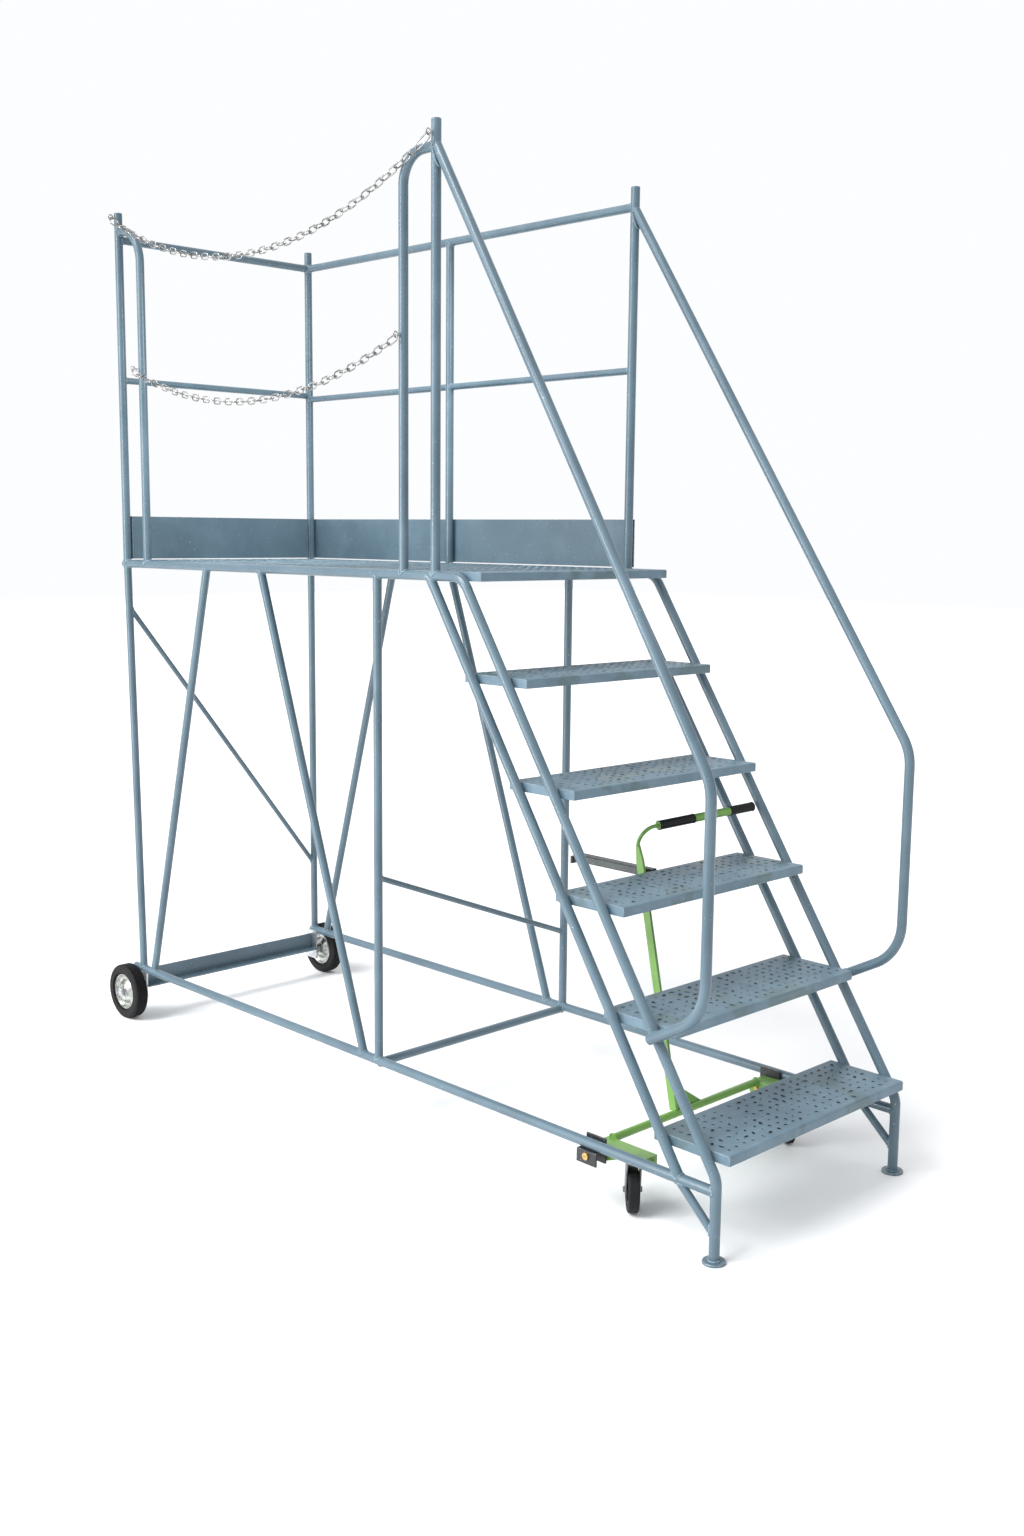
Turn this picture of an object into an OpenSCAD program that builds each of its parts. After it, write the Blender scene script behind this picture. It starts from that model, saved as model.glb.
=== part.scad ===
// Rolling warehouse ladder: a platform with a guardrail, five treads, two rear wheels
// and two swivel castors that a lever lets down to carry the front.
// Millimetres. +X towards the foot of the steps, +Y towards the guardrail side, +Z up.
// Origin: on the floor, at the middle of the footprint.

/* [Platform] */
// Distance from the rear posts to the front posts
platform_len = 1500; // [1460:10:1540]
// Height of the deck above the floor
deck_z = 1518; // [1506:6:1542]
// Half the distance between the two side frames, at the tube centres
half_width = 366; // [350:1:400]
// Height of the near front post's top above the floor
post_top = 2608; // [2600:1:2700]
// Height of the top guardrail's centre
top_rail_z = 2508; // [2480:1:2530]
// Height of the middle guardrail's centre
mid_rail_z = 2068; // [1950:1:2150]
// Height of the toe boards above the deck
toe_board_h = 138; // [80:1:160]

/* [Steps] */
// Horizontal distance from one nose to the next
step_run = 164; // [155:1:172]
// Front to back size of a tread
tread_depth = 220; // [180:5:225]
// How far the deck's nose stands in front of the front posts
nose_reach = 156; // [140:1:165]
// How far the front legs stand in front of the front posts
leg_reach = 950; // [930:1:960]
// How far the handrail's upright stands in front of the front posts
handrail_reach = 926; // [900:1:936]

/* [Tubes] */
// Outer diameter of the side tubes, base rails, posts and handrails
frame_od = 25.4; // [24:0.1:27]
// Outer diameter of the legs, braces and top rails
brace_od = 24; // [22:0.1:25]
// Outer diameter of the middle rails and the short leg braces
light_od = 20; // [18:0.1:22]
// Outer diameter of the diagonals between the two sides
diagonal_od = 16; // [14:0.1:18]
// Wall thickness of every tube
wall = 2; // [1.5:0.1:2.5]
// Height of the base rails' centre
base_z = 166; // [160:1:172]

/* [Wheels] */
// Diameter of the rear wheels
wheel_d = 180; // [172:1:186]
// Width of the rear tyres
wheel_w = 45; // [40:1:48]
// Diameter of the castor wheels
castor_d = 112; // [104:1:116]
// Width of the castor wheels
castor_w = 27; // [22:1:28]
// Direction that both castors trail in, from +X
castor_yaw = 137; // [-180:1:180]

/* [Lever] */
// How far the lift pivot stands in front of the front posts
pivot_reach = 571; // [565:1:575]
// Height of the lift pivot
pivot_z = 140; // [138:0.5:141]
// Diameter of the lever's grips
grip_d = 26; // [25:0.5:28]

/* [Chains] */
// Wire diameter of the chain links
link_wire = 3.7; // [3.4:0.1:4]
// Distance from one link to the next
link_pitch = 28.7; // [28:0.1:30]
// Number of ordinary links in the upper chain, always odd
upper_links = 51; // [49:2:53]
// Number of ordinary links in the lower chain, always odd
lower_links = 43; // [43:2:45]

/* [Hidden] */
$fn = 48;

near = -1;
far = 1;
paint = [0.42, 0.52, 0.59];
green = [0.42, 0.64, 0.26];
black = [0.09, 0.09, 0.1];
zinc = [0.72, 0.73, 0.74];

// Feet and the origin: fx is the front posts' x
foot_d = 55;
foot_h = 6;
fx = (platform_len + wheel_d / 2 - leg_reach - foot_d / 2) / 2;
rear_x = fx - platform_len;
leg_x = fx + leg_reach;

// Stair line: the noses lie on one slope, the stringers run behind it
step_count = 5;
step_rise = deck_z / (step_count + 1);
slope = step_run / step_rise;
front_stringer_back = 63.5;
rear_stringer_back = 187.5;
function nose_x(z) = fx + nose_reach + (deck_z - z) * slope;
function front_stringer_x(z) = nose_x(z) - front_stringer_back;
function rear_stringer_x(z) = nose_x(z) - rear_stringer_back;

// Side frames
side_z = deck_z - frame_od / 2;
side_bend = 60;
bend_swell = 0.05;
fit_up = 0.05;
bend_lap = 1;
leg_bend_z = deck_z - (leg_reach - nose_reach + front_stringer_back) / slope;
inner_y = half_width - frame_od / 2;
mid_post_x = fx - 765;
mid_leg_x = fx - 232;
near_leg_in = 34;
tie_z = base_z - 6;
near_rear_top = post_top - 20;
far_top = post_top - 46;
near_handrail_z = 2550;
far_handrail_z = 2504;
handrail_bend_z = 1086;
handrail_low_z = 567;
handrail_bend = 130;
handrail_end_z = 480;
handrail_splay = 28;
rear_mid_rise = 12;
cap_h = 4;

// Hoops on the chain side: each stands this far inside its post
rear_hoop_in = 122;
rear_hoop_z = 2530;
rear_hoop_bend = 104;
front_hoop_in = 124;
front_hoop_z = 2545;
front_hoop_bend = 75;

// Pressed sheet
sheet = 2.5;
tread_h = 23;
edge_r = 5;
plank_count = 6;
plank_gap = 1.5;
plank_h = 24;
nose_plank_back = 80;
deck_start_x = rear_x + 13;
toe_board_z = deck_z + 3;
toe_board_lip = 15;

// Rear axle
axle_z = wheel_d / 2;
axle_r = 10;
wheel_in_y = 384;
wheel_mid_y = wheel_in_y + wheel_w / 2;
hub_r = 58;
bracket_y = 350;
bracket_t = 6;
nut_y = wheel_in_y + wheel_w + 2;

// Lift unit
pivot_x = fx + pivot_reach;
pin_r = 6;
arm_in_y = 288;
arm_out_y = 340;
arm_t = 4;
arm_top_z = 160;
arm_front_x = fx + 712;
arm_nose_z = 138;
bar_r = 10;
bar_x = fx + 570;
bar_z = 158;
lever_foot = [bar_x - 4, -50, bar_z];
lever_top = [fx + 390, -11, 821];
lever_w = 22;
lever_t = 8;
lever_neck = 9;
lever_taper = 42;
handle_corner = [fx + 408, -39, 868];
handle_bend = 42;
handle_end = [fx + 487, 340, 895];
rod_r = 5;
sleeve_r = 11;
latch_x = fx + 168;
latch_z = 740;
latch_h = 22;
latch_w = 20;

// Castors: swivel axes, and heights from the arm's web down
castor_x = fx + 662;
castor_y = 314;
castor_trail = 18;
castor_clear = 1;
castor_axle_z = castor_d / 2 + castor_clear;
castor_hub_r = 36;
castor_axle_r = 4;
king_r = 6;
crown_z = 133;
crown_t = 3.5;
running = 0.05;

// Chains: the eyes' centre line, and each chain's ends and first long link
eye_y = -half_width - 26;
eye_r = 7;
eye_wire = 4;
eye_z_upper = 2573;
eye_z_lower = 2107;
link_w = 21;
upper_end_pitch = 51;
lower_end_pitch = 35;
hook_gap = 0.5;

function unit(v) = v / norm(v);
function turn_at(p, i) = acos(unit(p[i] - p[i - 1]) * unit(p[i + 1] - p[i]));
function setback(p, i, bend) = i == 0 || i == len(p) - 1 ? 0 : bend * tan(turn_at(p, i) / 2);

// Puts the children's own axes along x, y and z at the point o
module place(o, x, y, z) {
    multmatrix([[x[0], y[0], z[0], o[0]],
                [x[1], y[1], z[1], o[1]],
                [x[2], y[2], z[2], o[2]],
                [0, 0, 0, 1]]) children();
}

// Puts the children's z axis from a towards b, their x axis square to +Y where it can be
module aim(a, b) {
    z = unit(b - a);
    x = unit(cross(abs(z[1]) < 0.9 ? [0, 1, 0] : [0, 0, 1], z));
    place(a, x, cross(z, x), z) children();
}

module rod(a, b, r) {
    aim(a, b) cylinder(r = r, h = norm(b - a));
}

// Rounded to a hundredth, so that neighbouring stretches of a tube meet exactly
function neat(v) = round(v * 100) / 100;
function bend_normal(p) = len(p) > 2 ? unit(cross(p[1] - p[0], p[2] - p[1])) : [0, 1, 0];
function straights(p, bend) = [for (i = [0 : len(p) - 2])
    neat(norm(p[i + 1] - p[i]) - setback(p, i, bend) - setback(p, i + 1, bend))];
function turns(p) = len(p) < 3 ? [] : [for (i = [1 : len(p) - 2])
    turn_at(p, i) * sign(cross(p[i] - p[i - 1], p[i + 1] - p[i]) * bend_normal(p))];

// From here along z: a straight, then each bend about y and the straight that follows it.
// A bend is a hair thicker than the straights, which reach a little way into it.
module run(lengths, angles, r, bend, i = 0) {
    before = i == 0 ? 0 : bend_lap;
    after = i == len(angles) ? 0 : bend_lap;
    translate([0, 0, -before]) cylinder(r = r, h = lengths[i] + before + after);
    if (i < len(angles))
        translate([0, 0, lengths[i]]) {
            s = sign(angles[i]);
            translate([s * bend, 0, 0]) {
                place([0, 0, 0], [-s, 0, 0], [0, 0, 1], [0, s, 0])
                    rotate_extrude(angle = abs(angles[i])) translate([bend, 0]) circle(r = r + bend_swell);
                rotate([0, angles[i], 0]) translate([-s * bend, 0, 0])
                    run(lengths, angles, r, bend, i + 1);
            }
        }
}

// A round bar along the points of p, which lie in one plane, with one radius at every bend.
// extra makes it longer at both ends.
module bent_rod(p, r, bend, extra = 0) {
    lengths = straights(p, bend);
    last = len(lengths) - 1;
    grown = [for (i = [0 : last]) lengths[i] + (i == 0 ? extra : 0) + (i == last ? extra : 0)];
    z = unit(p[1] - p[0]);
    y = bend_normal(p);
    x = unit(cross(abs(y * z) < 0.01 ? y : [0, 0, 1], z));
    place(p[0], x, cross(z, x), z) translate([0, 0, -extra]) run(grown, turns(p), r, bend);
}

module tube(p, od, bend = 0) {
    difference() {
        bent_rod(p, od / 2, bend);
        bent_rod(p, od / 2 - wall, bend, 1);
    }
}

function side_path(side) = [
    [rear_x - frame_od / 2, side * half_width, side_z],
    [front_stringer_x(side_z), side * half_width, side_z],
    [leg_x, side * half_width, leg_bend_z],
    [leg_x, side * half_width, foot_h]];

// Solids that the tubes' ends are shaped against, a hair larger than the tubes themselves
module cope(a, b, od) {
    rod(a, b, od / 2 + fit_up);
}

module front_leg_solid(side) {
    y = side * half_width;
    cope([leg_x, y, 0], [leg_x, y, leg_bend_z], frame_od);
}

module front_stringer_solid(side) {
    y = side * half_width;
    cope([front_stringer_x(900), y, 900], [front_stringer_x(250), y, 250], frame_od);
}

module platform_solid(side) {
    y = side * half_width;
    cope([rear_x - 30, y, side_z], [fx + 60, y, side_z], frame_od);
}

module base_solid(side) {
    y = side * half_width;
    cope([rear_x - 30, y, base_z], [leg_x, y, base_z], frame_od);
}

module post_solid(x, side) {
    y = side * half_width;
    cope([x, y, deck_z], [x, y, post_top + 10], frame_od);
}

module leg_solid(x, side) {
    y = side * half_width;
    lean = side == near && x == rear_x ? near_leg_in : 0;
    cope([x + lean, y, base_z], [x, y, side_z], brace_od);
}

module side_tube(side) {
    color(paint) tube(side_path(side), frame_od, side_bend);
}

module rear_stringer(side) {
    y = side * half_width;
    color(paint) difference() {
        tube([[rear_stringer_x(side_z), y, side_z], [rear_stringer_x(base_z), y, base_z]], frame_od);
        platform_solid(side);
        base_solid(side);
    }
}

module base_rail(side) {
    y = side * half_width;
    color(paint) difference() {
        tube([[rear_x - frame_od / 2, y, base_z], [leg_x, y, base_z]], frame_od);
        front_leg_solid(side);
    }
}

module post(x, side, top_z) {
    y = side * half_width;
    color(paint) difference() {
        tube([[x, y, side_z], [x, y, top_z - cap_h]], frame_od);
        platform_solid(side);
    }
}

// The middle post ends under the top rail
module mid_post() {
    y = half_width;
    color(paint) difference() {
        tube([[mid_post_x, y, side_z], [mid_post_x, y, top_rail_z - 4]], frame_od);
        platform_solid(far);
        cope([rear_x, y, top_rail_z], [fx, y, top_rail_z], brace_od);
    }
}

// The near rear leg stands a little forward at its foot
module legs(side) {
    y = side * half_width;
    color(paint) for (leg = [[rear_x, side == near ? near_leg_in : 0], [mid_leg_x, 0]])
        difference() {
            tube([[leg[0], y, side_z], [leg[0] + leg[1], y, base_z]], brace_od);
            platform_solid(side);
            base_solid(side);
        }
}

// Two long braces from the platform to the base rail, and a short one at the front leg
module braces(side) {
    y = side * half_width;
    ends = [[-1040, side == near ? -1401 : -1428], [-763, -297]];
    color(paint) for (e = ends)
        difference() {
            tube([[fx + e[0], y, side_z], [fx + e[1], y, base_z]], brace_od);
            platform_solid(side);
            base_solid(side);
        }
    color(paint) difference() {
        tube([[leg_x - 112, y, base_z], [leg_x, y, 64]], light_od);
        base_solid(side);
        front_leg_solid(side);
    }
}

module cross_ties() {
    lean = near_leg_in * (side_z - 1366) / (side_z - base_z);
    diagonals = [[rear_x, lean, 1366, 414], [mid_leg_x, 0, 684, 403]];
    color(paint) for (d = diagonals)
        difference() {
            tube([[d[0] + d[1], -half_width, d[2]], [d[0], half_width, d[3]]], diagonal_od);
            leg_solid(d[0], near);
            leg_solid(d[0], far);
        }
    color(paint) difference() {
        tube([[mid_leg_x, -half_width, tie_z], [mid_leg_x, half_width, tie_z]], brace_od);
        base_solid(near);
        base_solid(far);
    }
}

module rear_cross_angle() {
    angle_t = 4;
    angle_top_z = base_z - 13;
    angle_h = 55;
    angle_lip = 40;
    color(paint) translate([rear_x, 0, angle_top_z - angle_h]) {
        translate([-angle_t / 2, -bracket_y, 0]) cube([angle_t, 2 * bracket_y, angle_h]);
        translate([-angle_t / 2, -bracket_y, 0]) cube([angle_lip, 2 * bracket_y, angle_t]);
    }
}

// Their far ends are shaped against the far rails, which meet them at the same post
module rear_rails() {
    color(paint) for (rail = [[top_rail_z, 0, brace_od], [mid_rail_z, rear_mid_rise, light_od]])
        difference() {
            z = rail[0] + rail[1];
            tube([[rear_x, -half_width, z], [rear_x, half_width, z]], rail[2]);
            post_solid(rear_x, near);
            post_solid(rear_x, far);
            cope([rear_x, half_width, rail[0]], [fx, half_width, rail[0]], rail[2]);
        }
}

module far_rails() {
    bays = [[rear_x, mid_post_x], [mid_post_x, fx]];
    color(paint) for (bay = bays)
        difference() {
            tube([[bay[0], half_width, mid_rail_z], [bay[1], half_width, mid_rail_z]], light_od);
            post_solid(bay[0], far);
            post_solid(bay[1], far);
        }
    color(paint) difference() {
        tube([[rear_x, half_width, top_rail_z], [fx, half_width, top_rail_z]], brace_od);
        post_solid(rear_x, far);
        post_solid(fx, far);
    }
}

module hoop(post_x, hoop_x, top_z, bend) {
    y = near * half_width;
    color(paint) difference() {
        tube([[post_x, y, top_z], [hoop_x, y, top_z], [hoop_x, y, side_z]], frame_od, bend);
        post_solid(post_x, near);
        platform_solid(near);
    }
}

// A handrail lies in an upright plane that leaves the post outwards, so that its
// lower end laps on the outside of the front stringer
function handrail_y(x) = half_width + handrail_splay * (x - fx) / handrail_reach;

module handrail(side) {
    x = fx + handrail_reach;
    y = side * handrail_y(x);
    end_x = front_stringer_x(handrail_end_z);
    top_z = side == near ? near_handrail_z : far_handrail_z;
    path = [[fx, side * half_width, top_z], [x, y, handrail_bend_z],
            [x, y, handrail_low_z], [end_x, side * handrail_y(end_x), handrail_end_z]];
    color(paint) difference() {
        tube(path, frame_od, handrail_bend);
        post_solid(fx, side);
        front_stringer_solid(side);
    }
}

module rear_toe_board() {
    color(paint) translate([rear_x, 0, toe_board_z]) {
        translate([-sheet / 2, -inner_y, 0]) cube([sheet, 2 * inner_y, toe_board_h - 3]);
        for (side = [near, far])
            translate([-sheet / 2, side * (inner_y - sheet / 2) - sheet / 2, 0])
                cube([toe_board_lip, sheet, toe_board_h - 3]);
    }
}

module far_toe_board() {
    color(paint) translate([rear_x - 12, half_width + frame_od / 2, toe_board_z])
        cube([platform_len + 22, sheet, toe_board_h - 3]);
}

// Side view of a pressed plate from x = 0 at its back to x = depth, with rounded top edges
module plate_outline(depth, drop) {
    translate([edge_r, -drop]) square([depth - 2 * edge_r, drop]);
    translate([0, -drop]) square([depth, drop - edge_r]);
    for (x = [edge_r, depth - edge_r])
        translate([x, -edge_r]) circle(r = edge_r);
}

// A tray with its open side down, its flanges drop deep
module tray(depth, half_len, drop) {
    translate([0, half_len, 0]) rotate([90, 0, 0]) difference() {
        linear_extrude(2 * half_len) plate_outline(depth, drop);
        translate([0, 0, sheet]) linear_extrude(2 * half_len - 2 * sheet)
            translate([sheet, -sheet]) plate_outline_inner(depth - 2 * sheet, drop);
    }
}

module plate_outline_inner(depth, drop) {
    r = edge_r - sheet;
    translate([r, -drop]) square([depth - 2 * r, drop]);
    translate([0, -drop]) square([depth, drop - r]);
    for (x = [r, depth - r])
        translate([x, -r]) circle(r = r);
}

module tread(k) {
    z = k * step_rise;
    color(paint) translate([nose_x(z) - tread_depth, 0, z])
        tray(tread_depth, inner_y, tread_h);
}

module deck_planks() {
    end_x = fx + nose_reach - nose_plank_back - plank_gap;
    pitch = (end_x - deck_start_x + plank_gap) / plank_count;
    color(paint) for (i = [0 : plank_count - 1])
        translate([deck_start_x + i * pitch, 0, deck_z])
            tray(pitch - plank_gap, inner_y, plank_h);
}

module nose_plank() {
    color(paint) translate([fx + nose_reach - nose_plank_back, 0, deck_z])
        tray(nose_plank_back, inner_y, tread_h);
}

module feet() {
    edge = 1.5;
    color(paint) for (side = [near, far])
        translate([leg_x, side * half_width, 0]) rotate_extrude()
            polygon([[0, 0], [foot_d / 2, 0], [foot_d / 2, foot_h - edge],
                     [foot_d / 2 - edge, foot_h], [0, foot_h]]);
}

// Domed caps on the four corner posts, and flat plugs in the rear ends of the four long tubes
module post_caps() {
    r = frame_od / 2;
    posts = [[rear_x, near, near_rear_top], [fx, near, post_top],
             [rear_x, far, far_top], [fx, far, far_top]];
    color(paint) for (p = posts)
        translate([p[0], p[1] * half_width, p[2] - cap_h]) rotate_extrude() {
            square([r, cap_h - 2.5]);
            translate([0, cap_h - 2.5]) square([r - 2.5, 2.5]);
            intersection() {
                translate([r - 2.5, cap_h - 2.5]) circle(r = 2.5);
                translate([0, cap_h - 2.5]) square([r, 2.5]);
            }
        }
    color(paint) for (side = [near, far], z = [side_z, base_z])
        translate([rear_x - r - 2, side * half_width, z]) rotate([0, 90, 0]) cylinder(r = r, h = 2);
}

// A plate under each base rail's end, with the rear wheel's stub axle on its outside
module wheel_brackets() {
    collar_r = 15;
    plate_w = 60;
    plate_low_z = 62;
    color(zinc) for (side = [near, far])
        difference() {
            union() {
                translate([rear_x - plate_w / 2, side * (bracket_y + bracket_t / 2) - bracket_t / 2,
                           plate_low_z])
                    cube([plate_w, bracket_t, base_z - plate_low_z]);
                rod([rear_x, side * (bracket_y + 1), axle_z], [rear_x, side * (nut_y + 8), axle_z], axle_r);
                rod([rear_x, side * (bracket_y + 1), axle_z],
                    [rear_x, side * (wheel_in_y - 3), axle_z], collar_r);
            }
            base_solid(side);
        }
}

module wheel_nuts() {
    nut_d = 30;
    color(zinc) for (side = [near, far])
        translate([rear_x, side * nut_y, axle_z]) rotate([-90 * side, 0, 0]) difference() {
            cylinder(d = nut_d, h = 6, $fn = 6);
            translate([0, 0, -1]) cylinder(r = axle_r, h = 9);
        }
}

module ring(r, wire) {
    rotate_extrude() translate([r, 0]) circle(d = wire);
}

// One eye: an upright ring that faces along the chain, on a short shank from the tube
// whose axis is at [tube_x, -half_width]
module eye(tube_x, ring_x, z) {
    shank_r = 2.5;
    tube_c = [tube_x, -half_width, z];
    translate([ring_x, eye_y, z]) rotate([0, 90, 0]) ring(eye_r, eye_wire);
    difference() {
        rod(tube_c, [ring_x, eye_y + eye_r, z], shank_r);
        rod(tube_c - [0, 0, 20], tube_c + [0, 0, 20], frame_od / 2);
    }
}

upper_eyes = [rear_x, fx];
lower_eyes = [rear_x + rear_hoop_in - 14, fx - front_hoop_in];

module chain_eyes() {
    color(zinc) {
        eye(rear_x, upper_eyes[0], eye_z_upper);
        eye(fx, upper_eyes[1], eye_z_upper);
        eye(rear_x + rear_hoop_in, lower_eyes[0], eye_z_lower);
        eye(fx - front_hoop_in, lower_eyes[1], eye_z_lower);
    }
}

// A link lies along x, its wide side up; inner is the clear length between its ends
module link(inner) {
    r = (link_w - link_wire) / 2;
    arm = inner / 2 + link_wire / 2 - r;
    for (end = [1, -1]) {
        translate([end * arm, 0, 0]) rotate([90, 0, 0]) rotate([0, 0, end > 0 ? -90 : 90])
            rotate_extrude(angle = 180) translate([r, 0]) circle(d = link_wire);
        translate([-arm, 0, end * r]) rotate([0, 90, 0]) cylinder(d = link_wire, h = 2 * arm);
    }
}

// A catenary of length total over a level span has the parameter a that solves this
function half_arc(a, span) = a * sinh(span / (2 * a));
function sinh(v) = (exp(v) - exp(-v)) / 2;
function asinh(v) = ln(v + sqrt(v * v + 1));
function solve_a(span, total, low, high, n) =
    n == 0 ? (low + high) / 2
    : half_arc((low + high) / 2, span) > total / 2
        ? solve_a(span, total, (low + high) / 2, high, n - 1)
        : solve_a(span, total, low, (low + high) / 2, n - 1);

// Links hooked one in the next, from the foot of one eye to the foot of the other. The
// first and last are longer than the rest, and stand upright like every second link.
module chain(eyes, z, links, end_pitch) {
    outside = eye_wire / 2 + hook_gap / 2;
    span = eyes[1] - eyes[0] + 2 * outside;
    total = links * link_pitch + 2 * end_pitch;
    a = solve_a(span, total, span / 4, span * 4, 40);
    pitches = concat([end_pitch], [for (i = [1 : links]) link_pitch], [end_pitch]);
    top = sqrt(a * a + total * total / 4);
    for (i = [0 : links + 1]) {
        s = (i == 0 ? end_pitch / 2
             : i == links + 1 ? total - end_pitch / 2
             : end_pitch + (i - 0.5) * link_pitch) - total / 2;
        at = [eyes[0] - outside + span / 2 + a * asinh(s / a), eye_y,
              z - eye_r + sqrt(a * a + s * s) - top];
        translate(at) rotate([0, -atan2(s, a), 0]) rotate([i % 2 == 0 ? 0 : 90, 0, 0])
            link(pitches[i] + hook_gap);
    }
}

module upper_chain() {
    color(zinc) chain(upper_eyes, eye_z_upper, upper_links, upper_end_pitch);
}

module lower_chain() {
    color(zinc) chain(lower_eyes, eye_z_lower, lower_links, lower_end_pitch);
}

// A saddle under each base rail that carries the lift's pivot pin
module pivot_brackets() {
    saddle_len = 62;
    plate_up = 16;
    low_z = 120;
    top_z = base_z - frame_od / 2;
    plate_in = [345, 350];
    plate_out = [379, 384];
    color(black) for (side = [near, far])
        difference() {
            for (box = [[plate_in[0], plate_in[1], low_z, base_z + plate_up],
                        [plate_out[0], plate_out[1], low_z, top_z],
                        [plate_in[0], plate_out[1], top_z - 5, top_z]])
                translate([pivot_x - saddle_len / 2, side > 0 ? box[0] : -box[1], box[2]])
                    cube([saddle_len, box[1] - box[0], box[3] - box[2]]);
            rod([pivot_x, side * 340, pivot_z], [pivot_x, side * 390, pivot_z], pin_r);
        }
}

module pivot_pins() {
    head_r = 9;
    color("darkgoldenrod") for (side = [near, far]) {
        rod([pivot_x, side * 284, pivot_z], [pivot_x, side * 385, pivot_z], pin_r);
        rod([pivot_x, side * 384, pivot_z], [pivot_x, side * 389, pivot_z], head_r);
    }
}

// A channel behind the third tread that guides the lever, with a stop at its rear end
module latch_bar() {
    end_x = nose_x(3 * step_rise) - tread_depth;
    stop_t = 6;
    stop_w = 30;
    color(paint) {
        difference() {
            translate([latch_x, 0, latch_z]) cube([end_x - latch_x, latch_w, latch_h]);
            translate([latch_x - 1, sheet, latch_z - 1])
                cube([end_x - latch_x + 2, latch_w - 2 * sheet, latch_h - sheet + 1]);
        }
        translate([latch_x, -stop_w, latch_z + 1]) cube([stop_t, stop_w + latch_w, latch_h - 2]);
    }
}

// Side view of a lift arm: round about the pivot, tapering to a shallow nose
module arm_outline() {
    eye_d = 50;
    intersection() {
        union() {
            translate([pivot_x, pivot_z]) circle(d = eye_d);
            polygon([[pivot_x, pivot_z], [pivot_x + 12, pivot_z - 22], [castor_x - 28, arm_nose_z],
                     [arm_front_x, arm_nose_z], [arm_front_x, arm_top_z], [pivot_x, arm_top_z]]);
        }
        translate([fx, 0]) square([1000, arm_top_z]);
    }
}

module lift_arms() {
    color(green) for (side = [near, far])
        difference() {
            translate([0, side > 0 ? arm_out_y : -arm_in_y, 0]) rotate([90, 0, 0])
                linear_extrude(arm_out_y - arm_in_y) arm_outline();
            translate([pivot_x - 40, side > 0 ? arm_in_y + arm_t : -arm_out_y + arm_t, 0])
                cube([400, arm_out_y - arm_in_y - 2 * arm_t, arm_top_z - arm_t]);
            rod([pivot_x, side * 280, pivot_z], [pivot_x, side * 345, pivot_z], pin_r + running);
        }
}

module cross_bar() {
    color(green) rod([bar_x, -arm_in_y, bar_z], [bar_x, arm_in_y, bar_z], bar_r);
}

// The flat lever, with a triangular plate that stiffens its foot on the cross bar
module lever() {
    gusset_t = 6;
    gusset_h = 76;
    gusset_w = 105;
    foot = 8;
    length = norm(lever_top - lever_foot);
    color(green) difference() {
        aim(lever_foot, lever_top) {
            translate([0, lever_t / 2, 0]) rotate([90, 0, 0]) linear_extrude(lever_t)
                polygon([[-lever_w / 2, foot], [lever_w / 2, foot], [lever_w / 2, length - lever_taper],
                         [lever_neck / 2, length], [-lever_neck / 2, length],
                         [-lever_w / 2, length - lever_taper]]);
            translate([gusset_t / 2, 0, 0]) rotate([0, -90, 0]) linear_extrude(gusset_t)
                polygon([[foot - 4, 0], [gusset_h, 0], [gusset_h, lever_t], [foot + 6, gusset_w],
                         [foot - 4, gusset_w]]);
        }
        rod([bar_x, -arm_in_y, bar_z], [bar_x, arm_in_y, bar_z], bar_r);
    }
}

module below_lever_top() {
    block = 60;
    aim(lever_foot, lever_top) translate([-block / 2, -block / 2, norm(lever_top - lever_foot) - block])
        cube(block);
}

function along_handle(t) = handle_corner + (handle_end - handle_corner) * t;

module handle_rod() {
    start = lever_top - [0, 0, 6];
    color(green) difference() {
        bent_rod([start, handle_corner, along_handle(0.985)], rod_r, handle_bend);
        below_lever_top();
    }
}

module handle_sleeve() {
    color(green) difference() {
        rod(along_handle(0.18), along_handle(0.985), sleeve_r);
        rod(along_handle(0.15), along_handle(1.1), rod_r);
    }
}

// A rubber grip over the sleeve, with a rounded lip at each end
module grip(a, b, closed) {
    lip = 1.5;
    length = norm(b - a);
    aim(a, b) difference() {
        rotate_extrude() {
            square([grip_d / 2 - 1, length]);
            translate([0, lip]) square([grip_d / 2 - 0.8, length - 2 * lip]);
            for (s = [lip, length - lip])
                translate([grip_d / 2 - lip, s]) circle(r = lip);
        }
        translate([0, 0, -1]) cylinder(r = sleeve_r, h = closed ? length - 4 : length + 2);
    }
}

module grips() {
    color(black) {
        grip(along_handle(0.18), along_handle(0.48), false);
        grip(along_handle(0.79), along_handle(1), true);
    }
}

// What stays with the arm: top plate, race housing, king pin and its nut
module castor_heads() {
    plate = [60, 43, 4];
    web_z = arm_top_z - arm_t;
    race_r = 20;
    race_z = crown_z + crown_t + hook_gap;
    color(zinc) for (side = [near, far])
        translate([castor_x, side * castor_y, 0]) {
            translate([-plate[0] / 2, -plate[1] / 2, web_z - plate[2]]) cube(plate);
            translate([0, 0, race_z]) cylinder(r = race_r, h = web_z - race_z);
            translate([0, 0, crown_z - 6]) cylinder(r = king_r, h = 20);
            translate([0, 0, crown_z - 6.5]) cylinder(r = king_r + 4, h = 6);
        }
}

// Puts the children's x axis along the castor's trail, with z = 0 on the floor
module at_castor(side) {
    translate([castor_x, side * castor_y, 0]) rotate([0, 0, castor_yaw]) children();
}

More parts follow.
